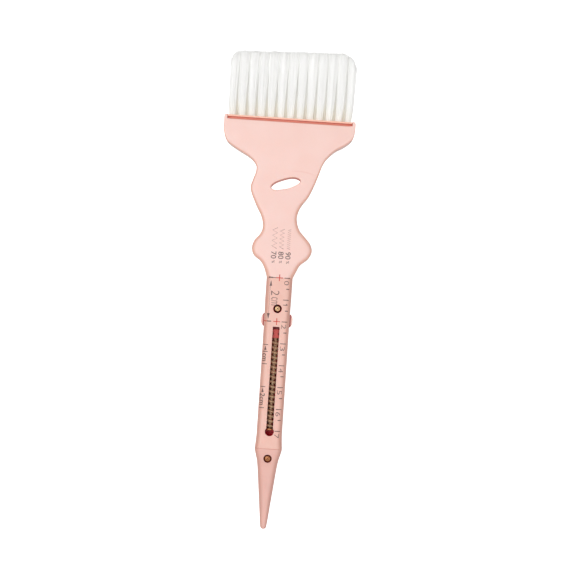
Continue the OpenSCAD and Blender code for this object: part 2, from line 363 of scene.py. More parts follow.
def combine(piece, tools, how="DIFFERENCE"):
    """Cuts the tools out of a piece, or joins them to it, and throws the tools away."""
    for tool in tools:
        boolean = piece.modifiers.new("combine", "BOOLEAN")
        boolean.operation = how
        boolean.solver = "EXACT"
        boolean.object = tool
    settle(piece)
    for tool in tools:
        bpy.data.meshes.remove(tool.data)
    return piece


def round_edges(piece, width, sharper_than=45):
    """Rounds a piece's sharp edges a little."""
    bevel = piece.modifiers.new("edges", "BEVEL")
    bevel.width = width
    bevel.segments = 3
    bevel.limit_method = "ANGLE"
    bevel.angle_limit = math.radians(sharper_than)
    bevel.miter_outer = "MITER_ARC"
    return settle(piece)


def cad_copy(node):
    """A loose copy of a CAD node in millimetres, its flat faces whole again."""
    mesh = frame["nodes"][node].data.copy()
    mesh.transform(TO_FRAME.inverted())
    mesh.materials.clear()
    bm = bmesh.new()
    bm.from_mesh(mesh)
    bmesh.ops.remove_doubles(bm, verts=bm.verts, dist=0.0005)
    bmesh.ops.dissolve_limit(bm, angle_limit=math.radians(0.5), verts=bm.verts, edges=bm.edges)
    bm.to_mesh(mesh)
    bm.free()
    return in_scene("copy", mesh)


def finish_piece(piece, name, material, stands_for=None, crease=None, body="handle"):
    """Puts a drawn piece into the frame, with its material, its body and the CAD node it stands for.

    Without a crease angle, flat faces shade evenly right up to their rounded edges.
    """
    piece.name = name
    piece.data.name = name
    piece.data.transform(TO_FRAME)
    piece.data.materials.clear()
    piece.data.materials.append(material)
    piece.data.polygons.foreach_set("use_smooth", [True] * len(piece.data.polygons))
    piece.data.set_sharp_from_angle(angle=math.radians(crease or FLAT_CREASE))
    if crease is None:
        weighted = piece.modifiers.new("normals", "WEIGHTED_NORMAL")
        weighted.keep_sharp = True
        settle(piece)
    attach(piece, body)
    if stands_for:
        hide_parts(stands_for)


# ---- materials
def srgb(*colour):
    """A linear colour from screen values of 0 to 255."""
    return [c / 255 / 12.92 if c <= 10 else ((c / 255 + 0.055) / 1.055) ** 2.4 for c in colour]


class Tree:
    """A node tree, and short ways to add to it."""

    def __init__(self, tree):
        self.tree = tree

    def add(self, kind, inputs=None, **settings):
        """A shader node. Each of its inputs is a value or another node's output."""
        made = self.tree.nodes.new("ShaderNode" + kind)
        for name, value in settings.items():
            setattr(made, name, value)
        for name, value in (inputs or {}).items():
            if isinstance(value, bpy.types.NodeSocket):
                self.tree.links.new(value, made.inputs[name])
            else:
                made.inputs[name].default_value = value
        return made

    def maths(self, operation, *values):
        return self.add("Math", dict(enumerate(values)), operation=operation).outputs["Value"]

    def axis(self, vector, name):
        """One of a vector's three coordinates."""
        return self.add("SeparateXYZ", {"Vector": vector}).outputs[name]

    def spread(self, value, low, high, to_low=0.0, to_high=1.0):
        """A value's range from low to high, spread over another range."""
        ends = {"From Min": low, "From Max": high, "To Min": to_low, "To Max": to_high}
        return self.add("MapRange", {"Value": value, **ends}).outputs["Result"]


class Nodes(Tree):
    """A material with one Principled shader, and what drives it."""

    def __init__(self, name, **values):
        self.material = bpy.data.materials.new(name)
        self.material.use_nodes = True
        super().__init__(self.material.node_tree)
        self.shader = self.tree.nodes["Principled BSDF"]
        self.place = self.add("TexCoord").outputs["Object"]
        for key, value in values.items():
            self.shader.inputs[key.replace("_", " ")].default_value = value

    def link(self, output, name):
        self.tree.links.new(output, self.shader.inputs[name])

    def noise(self, size_mm, detail=3.0, stretch=(1, 1, 1)):
        """Noise with features of a size in millimetres."""
        place = self.add("Mapping", {"Vector": self.place, "Scale": stretch}).outputs["Vector"]
        inputs = {"Vector": place, "Scale": 1 / (size_mm * MM), "Detail": detail}
        return self.add("TexNoise", inputs).outputs["Fac"]

    def patches(self, low, high, *noise, span=(0.35, 0.65)):
        """A value, or a colour, that wanders between two with a noise."""
        fac = self.noise(*noise)
        if isinstance(low, tuple):
            return self.blend(self.spread(fac, *span), low, high)
        return self.spread(fac, *span, low, high)

    def blend(self, factor, first, second):
        """A colour from the first to the second, each an output or screen values."""
        mix = self.add("Mix", data_type="RGBA")
        self.tree.links.new(factor, mix.inputs[0])
        ends = [i for i in mix.inputs if i.type == "RGBA"]
        for end, colour in zip(ends, (first, second)):
            if isinstance(colour, bpy.types.NodeSocket):
                self.tree.links.new(colour, end)
            else:
                end.default_value = (*srgb(*colour), 1)
        return next(o for o in mix.outputs if o.type == "RGBA")

    def openness(self, reach_mm, low, high):
        """0 deep in a cavity, 1 in the open: the mask for painted shade in cavities."""
        made = self.add("AmbientOcclusion", {"Distance": reach_mm * MM}, samples=8)
        return self.spread(made.outputs["AO"], low, high)

    def edge_shade_mask(self):
        """1 round the edges of a flat face, 0 on the face itself and on upright sides: where painted shade
        goes on rounded edges.
        """
        normal = self.add("NewGeometry").outputs["Normal"]
        level = self.maths("ABSOLUTE", self.axis(normal, "Z"))
        return self.maths("MULTIPLY", self.spread(level, 0.97, 0.75), self.spread(level, 0.25, 0.6))

    def low_down(self, high_mm, low_mm):
        """0 above a height, 1 below a lower one."""
        return self.spread(self.axis(self.place, "Z"), high_mm * MM, low_mm * MM)

    def up_along(self, low, high, *values):
        """0 to 1, or other values, from one station to another."""
        ends = (TAIL_TIP_Y + station * MM for station in (low, high))
        return self.spread(self.axis(self.place, "Y"), *ends, *values)

    def off_axis(self, low_mm, high_mm):
        """0 near the brush's middle line, 1 further out to either side."""
        off = self.maths("ABSOLUTE", self.axis(self.place, "X"))
        return self.spread(off, low_mm * MM, high_mm * MM)

    def on_crease_shade(self):
        """How much painted shade of the faint sink line shows, which runs over the head above its hole."""
        x, y = self.axis(self.place, "X"), self.axis(self.place, "Y")
        flat = self.add("CombineXYZ", {"X": x, "Y": y}).outputs["Vector"]
        middle = TO_FRAME @ Vector((*CREASE_MIDDLE, 0))
        ends = {0: flat, 1: (middle.x, middle.y, 0)}
        far = self.add("VectorMath", ends, operation="DISTANCE").outputs["Value"]
        off = self.maths("ABSOLUTE", self.maths("SUBTRACT", far, CREASE_R * MM))
        shows = self.spread(off, 0, CREASE_W * MM, CREASE_DARK, 0)
        left, right = CREASE_SPAN
        for end, full in ((left, left + CREASE_FADE), (right, right - CREASE_FADE)):
            shows = self.maths("MULTIPLY", shows, self.spread(x, end * MM, full * MM))
        return self.maths("MULTIPLY", shows, self.spread(y, middle.y, middle.y + MM))

    def height(self, fine_mm, strength, depth_mm):
        """A fine uneven skin."""
        inputs = {"Height": self.noise(fine_mm, 2), "Strength": strength, "Distance": depth_mm * MM}
        self.link(self.add("Bump", inputs).outputs["Normal"], "Normal")


def moulded_plastic(name, tones, reach=6, core=None, crease=False, open_below=None, open_beyond=None):
    """Satin moulded plastic: faint clouding, a fine skin, and painted shade: deeper tones on rounded edges
    and in cavities, and where asked along a sink line and over a shaded middle.
    """
    light, dark, edge, deep = tones
    n = Nodes(
        name,
        IOR=1.49,
        Subsurface_Weight=0.1,
        Subsurface_Scale=1.0 * MM,
        Subsurface_Radius=(1.0, 0.45, 0.3),
    )
    toned = n.patches(dark, light, 9, 4)
    # Painted shade along the faint sink line, where it is asked for
    if crease:
        toned = n.blend(n.on_crease_shade(), toned, CREASE_SHADE_TONE)
    # Painted shade: rounded edges take a deeper tone, by the way they face
    toned = n.blend(n.edge_shade_mask(), toned, edge)
    # Painted shade: a deep red over the middle, where the slide lies in the window's and the slots' shade
    if core:
        toned = n.blend(n.off_axis(*SHADED_MIDDLE_HALF), core, toned)
    # Painted shade: cavities, recesses, grooves and gaps between parts take the deep tone, by ambient
    # occlusion
    out_of_shade = n.openness(reach, 0.4, 0.85)
    if open_below:
        out_of_shade = n.maths("MAXIMUM", out_of_shade, n.low_down(*open_below))
    if open_beyond:
        out_of_shade = n.maths("MAXIMUM", out_of_shade, n.off_axis(*open_beyond))
    n.link(n.blend(out_of_shade, deep, toned), "Base Color")
    n.link(n.patches(0.36, 0.46, 2.2, 3), "Roughness")
    n.height(0.35, 0.25, 0.012)
    return n.material


def nylon_filament(name):
    """White nylon that lets some light through, with a painted glow on top of that; painted shade, beige, on
    the back row's roots, which shows between the front row's; and fine streaks along the bristles.
    """
    n = Nodes(
        name,
        Roughness=0.4,
        IOR=1.53,
        Subsurface_Weight=0.5,
        Subsurface_Scale=1.5 * MM,
        Subsurface_Radius=(1, 1, 0.95),
    )
    climb = n.up_along(FLANGE_TOP, FLANGE_TOP + 8)
    rear = n.low_down(MID_Z + 1, MID_Z - 1)
    # Painted shade: the back row's roots, in the front row's shade, go beige
    rear_root_shade = n.maths("MULTIPLY", rear, n.up_along(FLANGE_TOP + 4, FLANGE_TOP + 16, 1, 0))
    white = n.patches((248, 248, 246), (255, 255, 254), 0.45, 2, (1, 0.03, 1))
    front = n.blend(climb, (253, 251, 243), white)
    n.link(n.blend(rear_root_shade, front, (236, 232, 218)), "Base Color")
    # Painted glow: the bristles give a faint light of their own, a little stronger and warmer at the roots
    n.link(n.blend(climb, (246, 243, 233), (246, 245, 241)), "Emission Color")
    n.link(n.up_along(FLANGE_TOP, FLANGE_TOP + 16, 0.118, 0.096), "Emission Strength")
    return n.material


def satin_metal(name, light, dark, deep, rough, metallic, cavity=(0.2, 0.75)):
    """Plain metal with fine drawing marks, and painted shade in its recesses."""
    n = Nodes(name, Metallic=metallic)
    worn = n.patches(dark, light, 0.8, 4)
    # Painted shade: the deep colour fills the metal's recesses, by ambient occlusion
    n.link(n.blend(n.openness(1.2, *cavity), deep, worn), "Base Color")
    n.link(n.patches(*rough, 0.3, 2), "Roughness")
    n.height(0.12, 0.3, 0.01)
    return n.material


def printed_ink(name, colour, worn):
    """Pad-printed ink, thin in places."""
    n = Nodes(name)
    n.link(n.patches(worn, colour, 0.5, 3, span=(0.3, 0.6)), "Base Color")
    n.link(n.patches(0.4, 0.55, 0.6, 2), "Roughness")
    return n.material


# Painted shade of the head's sink line
CREASE_SHADE_TONE = (238, 184, 172)
# Half width of the slide's painted shade down its middle, a deep red where its nose lies in the window's
# shade and its tabs' roots in the slots' shade: fully shaded, and not shaded
SHADED_MIDDLE_HALF = (6.05, 6.7)
# Where a surface counts as open and gets no painted cavity shade, whatever is near it: below these heights,
# or this far from the middle
UNDERSIDE = (3.5, 1.5)
FLANKS = (3.4, 3.9)

# Plastics: tones of light and dark patches, of painted shade on rounded edges, and of painted shade deep in
# cavities
HEAD_PLASTIC = moulded_plastic(
    "head plastic",
    [(249, 211, 202), (248, 208, 198), (244, 188, 168), (222, 124, 98)],
    crease=True,
    open_below=UNDERSIDE,
)
HANDLE_PLASTIC = moulded_plastic(
    "handle plastic",
    [(241, 194, 180), (238, 189, 174), (222, 168, 152), (235, 8, 50)],
    open_beyond=FLANKS,
)
TAIL_PLASTIC = moulded_plastic(
    "tail plastic",
    [(236, 187, 175), (232, 181, 169), (224, 170, 156), (205, 120, 104)],
    open_below=UNDERSIDE,
)
CORAL_PLASTIC = moulded_plastic(
    "coral plastic", [(255, 200, 178), (254, 194, 170), (248, 178, 152), (214, 98, 78)]
)
# Its core tone is painted shade, on the nose in the window and on the tabs' roots
ROSE_PLASTIC = moulded_plastic(
    "rose plastic",
    [(255, 222, 212), (254, 216, 204), (252, 204, 188), (160, 4, 14)],
    reach=1.8,
    core=(196, 76, 66),
)
NYLON = nylon_filament("nylon")
# Metals: light, dark and deep colour, the deep one painted shade in recesses, roughness, metallic, and where
# that painted shade starts and ends
BRASS = satin_metal(
    "brass", (236, 204, 160), (218, 182, 136), (56, 24, 14), (0.38, 0.5), 0.8, (0.5, 0.9)
)
OLD_BRASS = satin_metal(
    "old brass", (190, 134, 92), (160, 106, 70), (110, 28, 24), (0.4, 0.52), 0.9, (0.45, 0.8)
)
SPRING_WIRE = satin_metal(
    "spring wire", (205, 178, 141), (182, 155, 120), (70, 38, 24), (0.5, 0.65), 0.25
)
ROD_METAL = satin_metal(
    "brown rod", (222, 192, 156), (204, 172, 136), (130, 82, 56), (0.4, 0.55), 0.2, (0.05, 0.4)
)
STEEL = satin_metal(
    "drawn steel", (206, 180, 150), (184, 156, 126), (96, 60, 40), (0.4, 0.55), 0.6
)
DARK_INK = printed_ink("dark ink", (96, 73, 71), (117, 92, 88))
PALE_INK = printed_ink("pale ink", (166, 126, 119), (190, 150, 142))
RED_INK = printed_ink("red ink", (205, 52, 40), (214, 84, 68))


# ---- head
SIDE_CURVE = smooth_curve(HEAD_SIDE)


def head_half_depth(station):
    """Half thickness of the head at a station."""
    return np.minimum(np.interp(station, SIDE_CURVE[:, 0], SIDE_CURVE[:, 1]), MID_Z)


def head_edge(loop, by_station):
    """Rounding radius at each point of the outline: fuller along the lip under the groove."""
    table = np.array(by_station)
    radius = np.interp(loop[:, 1], table[:, 0], table[:, 1])
    on_lip = (abs(loop[:, 1] - LIP) < 0.01) & (abs(loop[:, 0]) < TROUGH_HALF - 0.5)
    return np.where(on_lip, LIP_EDGE, radius)


def head_outline():
    """The head's closed outline, with the trough for the bristle block between its two ears."""
    below = BARREL_TOP - 5
    right = smooth_curve(RIGHT_SIDE)
    left = smooth_curve(LEFT_SIDE)[::-1] * (-1, 1)
    ear = arc(HEAD_HALF - EAR_R, HEAD_TOP - EAR_R, EAR_R, 0, 90)
    lip = [(x, LIP) for x in np.linspace(TROUGH_HALF, -TROUGH_HALF, 40)]
    points = [(RIGHT_SIDE[0][0], below), *right, *ear, (TROUGH_HALF, HEAD_TOP), *lip]
    points += [(-TROUGH_HALF, HEAD_TOP), *[(-x, y) for x, y in ear[::-1]], *left]
    points += [(-LEFT_SIDE[0][0], below)]
    return np.array(points, float)


def edge_rings(loop, front_r, back_r):
    """Rings over a loop from the front face, round its edge, down the wall, to the back face."""
    rings = []
    turns = np.linspace(90, 0, 7)
    for side, radius, angles in ((1, front_r, turns), (-1, back_r, turns[::-1])):
        for t in np.radians(angles):
            flat = offset_loop(loop, radius * (1 - math.cos(t)))
            lift = head_half_depth(flat[:, 1]) - radius * (1 - math.sin(t))
            rings.append(np.c_[flat, MID_Z + side * lift])
    return rings


def sheet(rim, hole, grid=1.5):
    """Points that fill a face inside its rim and round its hole, and triangles over all of them."""
    xs = np.arange(-HEAD_HALF, HEAD_HALF, grid)
    ys = np.arange(BARREL_TOP - 5, HEAD_TOP, grid)
    filling = np.array([(x + (j % 2) * grid / 2, y) for j, y in enumerate(ys) for x in xs])
    keep = inside(filling, rim) & ~inside(filling, hole)
    keep &= (distance_to(filling, rim) > grid * 0.6) & (distance_to(filling, hole) > grid * 0.5)
    filling = filling[keep]
    flat = np.concatenate([rim, hole, filling])
    edges = [(k, (k + 1) % len(rim)) for k in range(len(rim))]
    edges += [(len(rim) + k, len(rim) + (k + 1) % len(hole)) for k in range(len(hole))]
    made = delaunay_2d_cdt([Vector(p) for p in flat], edges, [], 0, 1e-6)
    triangles = np.array([[made[3][v][0] for v in f] for f in made[2]])
    middles = flat[triangles].mean(1)
    return filling, triangles[inside(middles, rim) & ~inside(middles, hole)]


def head_solid():
    """The head with its edges rounded, its leaf hole and its gently hollowed faces."""
    outer = head_outline()
    leaf = smooth_curve(LEAF, 6, closed=True)[::-1]
    leaf_edge = np.full(len(leaf), LEAF_EDGE)
    walls = [
        edge_rings(outer, head_edge(outer, HEAD_EDGE), head_edge(outer, HEAD_BACK_EDGE)),
        edge_rings(leaf, leaf_edge, leaf_edge),
    ]
    points, faces, ends, count = [], [], [], 0
    for rings in walls:
        n = len(rings[0])
        faces += ring_faces(len(rings), n, count, closed_ends=False)
        points += rings
        first, count = count, count + n * len(rings)
        ends.append((range(first, first + n), range(count - n, count)))
    for which, side in ((0, 1), (-1, -1)):
        filling, triangles = sheet(walls[0][which][:, :2], walls[1][which][:, :2])
        ids = np.array([*ends[0][which], *ends[1][which], *range(count, count + len(filling))])
        points.append(np.c_[filling, MID_Z + side * head_half_depth(filling[:, 1])])
        faces += list(ids[triangles])
        count += len(filling)
    return solid(np.concatenate(points), faces)


def make_head():
    """The head on its tang, with the socket for the tuft block and the upper screw's hole."""
    head = combine(head_solid(), [bar(20, -5, 15, 100, BARREL_TOP)])
    tang = inner_bar(TANG_HALF - FIT_GAP, TANG_DEEP / 2 - FIT_GAP, TANG_END, BARREL_TOP + 0.5)
    combine(head, [tang], "UNION")
    socket = inner_bar(SOCKET_HALF, SOCKET_DEEP / 2, SOCKET_FLOOR, LIP + 0.5)
    combine(head, [socket, upright(UPPER_SCREW_AT, PASS_R, 0, DEPTH)])
    finish_piece(head, "head", HEAD_PLASTIC, "head_paddle", crease=50)


def make_block():
    """The tuft block, with a neck under its flange that closes the trough from ear to ear."""
    neck = bar(FLANGE_HALF, 1, DEPTH - 1, LIP + OVERLAP, GROOVE_TOP + 0.1)
    block = round_edges(combine(cad_copy("bristle_block"), [neck], "UNION"), 0.16)
    finish_piece(block, "tuft_block", CORAL_PLASTIC, "bristle_block")


# ---- bristles
def strand(path, radius):
    """Points of a thin rod along a path, with a small blunt end."""
    turn = around(FILAMENT_SIDES)
    ring = np.c_[np.cos(turn), np.zeros(FILAMENT_SIDES), np.sin(turn)]
    sizes = np.full(len(path), radius)
    sizes[-1] *= FILAMENT_END
    return (path[:, None] + ring[None] * sizes[:, None, None]).reshape(-1, 3)


def tip_station(x, uneven=0.0):
    """Where a filament ends: a little longer to the right, and rounded off at the two corners."""
    corner = TIP_CORNER_LEFT if x < 0 else TIP_CORNER_RIGHT
    outermost = (FRONT_TUFTS - 1) / 2 * TUFT_PITCH * (1 + FAN)
    level = LENGTH - TIP_DROP * (0.5 - min(x, outermost) / (2 * outermost))
    into = max(0.0, abs(x) - (TIP_EDGE - corner)) / corner
    drop = corner * (1 - math.sqrt(max(0.0, 1 - min(into, 0.98) ** 2)))
    return level - TIP_SHORT - drop - uneven


def climbed(station, over=LENGTH - FLANGE_TOP):
    """How far up a station is, from 0 at the block to 1 at the longest tip or sooner."""
    return min(1.0, max(0.0, station - FLANGE_TOP) / over)


def tuft_r(station, tip_r):
    """A tuft's radius, which grows from its hole to where it meets its neighbours."""
    return TUFT_ROOT_R + (tip_r - TUFT_ROOT_R) * climbed(station, TUFT_OPENS_OVER)


def fanned(x, station):
    """A tuft's x further up, where the row has spread a little to both sides."""
    t = climbed(station, FANS_OVER)
    return x * (1 + FAN * t * (2 - t))


def held_in(x):
    """The brush's outer sides are a little flatter than the round sides of its tufts."""
    return math.copysign(abs(x) - max(0.0, abs(x) - FLAT_SIDE) / 2, x)


def tuft_core(root_s, x, z, lean, rng):
    """Rings of a tuft's dense middle, ribbed by its filaments, which ends a little below their tips."""
    ribs = [1 - abs(rng.gauss(0, CORE_RIBS)) for _ in range(CORE_SIDES)]
    turns = around(CORE_SIDES)
    tops = [tip_station(fanned(x, LENGTH) + TUFT_TIP_R * math.cos(t)) - CORE_SHORT for t in turns]
    # Each level: distance past its place, place from 0 at the block to 1 at the top, and size
    levels = [(root_s - FLANGE_TOP, 0, 1), *[(0, u, 1) for u in np.linspace(0, 1, 12)]]
    levels += [(0.35, 1, 0.88), (0.6, 1, 0.62)]
    rings = []
    for past, u, size in levels:
        ring = []
        for turn, rib, top in zip(turns, ribs, tops):
            s = FLANGE_TOP + u * (top - FLANGE_TOP) + past
            r = (tuft_r(s, TUFT_TIP_R - CORE_IN) - FILAMENT_R / 2) * size * rib
            out_x = fanned(x, s) + lean[0] * climbed(s) + r * math.cos(turn)
            ring.append((held_in(out_x), s, z + lean[1] * climbed(s) + r * math.sin(turn)))
        rings.append(ring)
    return rings


def make_tuft(node, x, z, rng):
    """One tuft: a dense core and the loose filaments round it, opening towards the tips."""
    lean = np.array([rng.uniform(-most, most) for most in TUFT_LEAN])
    core = tuft_core(node_span(node)[0].y + CORE_ROOT, x, z, lean, rng)
    points, faces, count = [], [], 0
    for i in range(FILAMENTS):
        turn = i * GOLDEN_ANGLE + rng.uniform(-0.2, 0.2)
        out = math.sqrt((i + 0.5) / FILAMENTS)
        way = np.array([math.cos(turn), math.sin(turn)])
        reach = TUFT_TIP_R + rng.uniform(*STRAY) * out
        end = tip_station(fanned(x, LENGTH) + way[0] * reach * out, abs(rng.gauss(0, TIP_UNEVEN)))
        wave, phase = rng.uniform(0, FILAMENT_SWAY), rng.uniform(0, 6.28)
        first = FLANGE_TOP - 1 if out > OUTER_FROM else LENGTH - INNER_L
        path = []
        for s in (*np.linspace(first, end - FILAMENT_END_L, 7), end):
            up = climbed(s)
            sway = wave * math.sin(phase + 5 * up) * up
            at = way * (tuft_r(s, reach) - FILAMENT_R) * out + lean * up + (sway, -sway)
            path.append((held_in(fanned(x, s) + at[0]), s, z + at[1]))
        points.append(strand(np.array(path), FILAMENT_R * rng.uniform(0.85, 1.1)))
        faces += ring_faces(len(path), FILAMENT_SIDES, count)
        count += len(points[-1])
    faces += ring_faces(len(core), CORE_SIDES, count)
    tuft = solid(np.concatenate([*points, *core]), faces)
    finish_piece(tuft, node + "_bristles", NYLON, node, crease=70)


def make_bristles():
    """Two rows of tufts, with the back row's between the front row's."""
    rng = random.Random(7)
    for row, count, side in (("front", FRONT_TUFTS, 1), ("back", FRONT_TUFTS - 1, -1)):
        for i in range(count):
            x = (i - (count - 1) / 2) * TUFT_PITCH
            make_tuft(f"tuft_{row}_{i + 1:02d}", x, MID_Z + side * ROW_GAP / 2, rng)


# ---- barrel and tail
def barrel_half(station):
    """Half width of the barrel: widest at the tail seam, slimmest along the window."""
    flare = np.clip((FLARE_FROM - station) / (FLARE_FROM - TAIL_TOP), 0, 1) ** 1.5
    swell = np.interp(station, (SWELL[0], SWELL[-1]), (0, UPPER_HALF - BARREL_HALF))
    return BARREL_HALF + flare * (FLARE_HALF - BARREL_HALF) + swell


def shell_solid(side):
    """Half of the barrel, in front of the middle plane or behind it, with its tongue."""
    whole = [*np.linspace(TAIL_TOP + TAIL_SEAM, FLARE_FROM, 9), *SWELL, BARREL_TOP - HEAD_SEAM]
    stations = [(TAIL_TOP, TAIL_SEAM), *[(s, 0) for s in whole], (BARREL_TOP, HEAD_SEAM)]
    rings = []
    for s, inset in stations:
        a = float(barrel_half(s)) - inset
        upper = arc(a - EDGE_R + inset, FACE - EDGE_R, EDGE_R - inset, 0, 90, 9)
        half = [(a, MID_Z), *upper, *[(-x, z) for x, z in upper[::-1]], (-a, MID_Z)]
        rings.append([(x, s, MID_Z + side * (z - MID_Z)) for x, z in half])
    deep = MID_Z + side * (TONGUE_DEEP / 2 - FIT_GAP)
    tongue = bar(TONGUE_HALF - FIT_GAP, *sorted((MID_Z, deep)), TONGUE_END, TAIL_TOP + 0.5)
    return combine(skin(rings), [tongue], "UNION")


def barrel_spaces():
    """Everything that is open inside the two shells."""
    slot_low = SLIDE_TOP - TAB_L - TRAVEL - SLOT_ROOM
    return [
        inner_bar(TANG_HALF, TANG_DEEP / 2, CHANNEL_END - OVERLAP, BARREL_TOP + 1),
        inner_bar(CHANNEL_HALF, CHANNEL_DEEP / 2, WASHER_END, CHANNEL_END),
        inner_bar(WELL_HALF, CHANNEL_DEEP / 2, WELL_END, WASHER_END + OVERLAP),
        inner_bar(SLOT_HALF, SLOT_T / 2, slot_low, SLIDE_TOP + SLOT_ROOM),
    ]


def make_shells():
    """The barrel's two halves, with the window, its keyhole and the screws' holes."""
    half, out = WINDOW_W / 2, DEPTH + 1
    front_holes = [
        prism(rounded_box(-half, half, KEYHOLE_AT, WINDOW_TOP, WINDOW_R), MID_Z, out),
        upright(KEYHOLE_AT, KEYHOLE_R, MID_Z, out),
        upright(UPPER_SCREW_AT, PASS_R, MID_Z, out),
        upright(UPPER_SCREW_AT, UPPER_RECESS_R, UPPER_SEAT, out),
        upright(LOWER_SCREW_AT, PASS_R, MID_Z - 1, out),
    ]
    back_holes = [
        upright(UPPER_SCREW_AT, SHANK_R, UPPER_SEAT - UPPER_SHANK - 0.2, DEPTH),
        upright(LOWER_SCREW_AT, SHANK_R, LOWER_SEAT - LOWER_SHANK - 0.2, DEPTH),
    ]
    for where, side, holes in (("front", 1, front_holes), ("back", -1, back_holes)):
        shell = combine(shell_solid(side), [*barrel_spaces(), *holes])
        round_edges(shell, 0.2)
        finish_piece(shell, "barrel_" + where, HANDLE_PLASTIC, where + "_shell")


def tail_ring(station, half_w, half_d):
    """Rounded rectangle across the tail."""
    r = min(EDGE_R, 0.97 * min(half_w, half_d))
    outline = rounded_box(-half_w, half_w, -half_d, half_d, r)
    return [(x, station, MID_Z + z) for x, z in outline]


def make_tail():
    """The tail cone, with a narrow step round its top for the seam."""
    seam = (TAIL_TOP, FLARE_HALF - TAIL_SEAM, MID_Z - TAIL_SEAM)
    curve = np.concatenate([smooth_curve(TAIL_RINGS[:-2], 5), TAIL_RINGS[-2:], [seam]])
    curve[-2] -= (TAIL_SEAM, 0, 0)
    curve[:, 2] = np.minimum(curve[:, 2], FACE - MID_Z)
    tail = combine(
        skin([tail_ring(*section) for section in curve]),
        [
            inner_bar(TONGUE_HALF, TONGUE_DEEP / 2, TONGUE_END - 0.2, TAIL_TOP + 1),
            upright(LOWER_SCREW_AT, PASS_R, MID_Z, DEPTH + 1),
            upright(LOWER_SCREW_AT, LOWER_RECESS_R, LOWER_SEAT, DEPTH + 1),
        ],
    )
    round_edges(tail, 0.3, 50)
    finish_piece(tail, "tail_cone", TAIL_PLASTIC, "tail")


# ---- screws, spring and slide
def make_screw(node, station, seat, shank, head_r, material):
    """Pan-head screw: a domed head with a flange and a cross recess, on a shank with a real thread."""
    turns = around(SCREW_SIDES)
    foot, top, rim = seat - shank, seat + SCREW_HEAD_H, seat + SCREW_HEAD_H - DOME_R
    sections = []
    for z in np.linspace(foot, seat, int(shank / THREAD_PITCH * 8) + 1):
        taper = min(1.0, 0.45 + (z - foot) / 1.2)
        fade = min(1.0, max(0.0, (seat - z) / 0.6))
        ridge = 1 - abs((z / THREAD_PITCH - turns / (2 * math.pi)) % 1 * 2 - 1)
        grown = np.maximum(0, ridge * 1.6 - 0.6) * fade
        sections.append(((THREAD_ROOT_R + (SHANK_R - 0.01 - THREAD_ROOT_R) * grown) * taper, z))
    flange_r = head_r + FLANGE_PAST
    sections += [(SHANK_R - 0.02, seat), (flange_r, seat), (flange_r, seat + 0.15)]
    sections += [(head_r + 0.05, seat + 0.3), (head_r, seat + 0.4), (head_r, rim)]
    for t in np.radians(range(12, 90, 12)):
        sections.append((head_r * math.cos(t), rim + DOME_R * math.sin(t)))
    ring = np.c_[np.cos(turns), np.sin(turns), np.zeros(SCREW_SIDES)]
    screw = skin([ring * np.c_[r + 0 * turns] + (0, station, z) for r, z in sections])
    slots = []
    for turn in (45, 135):
        slot = bar(CROSS_HALF, -CROSS_DEEP, 0.5, -CROSS_W / 2, CROSS_W / 2)
        slot.data.transform(Matrix.Rotation(math.radians(turn), 4, "Z"))
        slot.data.transform(Matrix.Translation((0, station, top)))
        slots.append(slot)
    combine(screw, slots)
    finish_piece(screw, node + "_threaded", material, node, crease=40)


def make_spring():
    """The return spring, from its washer up to the slide."""
    low, high = WASHER_TOP + WIRE_R + FIT_GAP, SLIDE_END - WIRE_R - FIT_GAP
    steps = SPRING_TURNS * SPRING_STEPS + 1
    round_wire = around(SPRING_SIDES)
    rings = []
    for t, s in zip(np.linspace(0, 2 * math.pi * SPRING_TURNS, steps), np.linspace(low, high, steps)):
        out = np.array([math.cos(t), 0, math.sin(t)])
        rings.append(
            np.array([0, s, MID_Z])
            + np.outer(SPRING_R + WIRE_R * np.cos(round_wire), out)
            + np.outer(WIRE_R * np.sin(round_wire), (0, 1, 0))
        )
    spring = skin(rings)
    finish_piece(spring, "spring_coil", SPRING_WIRE, "return_spring", crease=60)
    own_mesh(spring)


def make_slide():
    """The slide, with a groove and small bites in the nose that shows in the window."""
    tools = []
    for station, r in NOSE_BITES:
        tools += [upright(station, r, DEPTH - 3.2, DEPTH, 24, x) for x in (-WINDOW_W / 2, WINDOW_W / 2)]
    tools.append(bar(2, MID_Z + 1, DEPTH, *NOSE_GROOVE))
    slide = round_edges(combine(cad_copy("slide"), tools), 0.3)
    finish_piece(slide, "thumb_slider", ROSE_PLASTIC, "slide", body="thumb_slide")


def dress_cad_nodes():
    """Better materials on the CAD nodes that stay."""
    kept = {"tuft_anchors": STEEL, "guide_rod": ROD_METAL, "spring_washer": OLD_BRASS}
    for node, material in kept.items():
        mesh = frame["nodes"][node].data
        mesh.materials.clear()
        mesh.materials.append(material)


# ---- printed marks
def surface_point(x, station):
    """The point of the front surface under (x, station), and its outward normal."""
    if station > BARREL_TOP:
        slope = (head_half_depth(station + 0.1) - head_half_depth(station - 0.1)) / 0.2
        return np.array([x, station, MID_Z + head_half_depth(station)]), np.array([0, -slope, 1.0])
    over = max(0.0, abs(x) - float(barrel_half(station)) + EDGE_R)
    rise = math.sqrt(max(EDGE_R**2 - over**2, 0.01))
    normal = np.array([math.copysign(over, x), 0, rise]) / EDGE_R
    return np.array([x, station, FACE - EDGE_R + rise]), normal


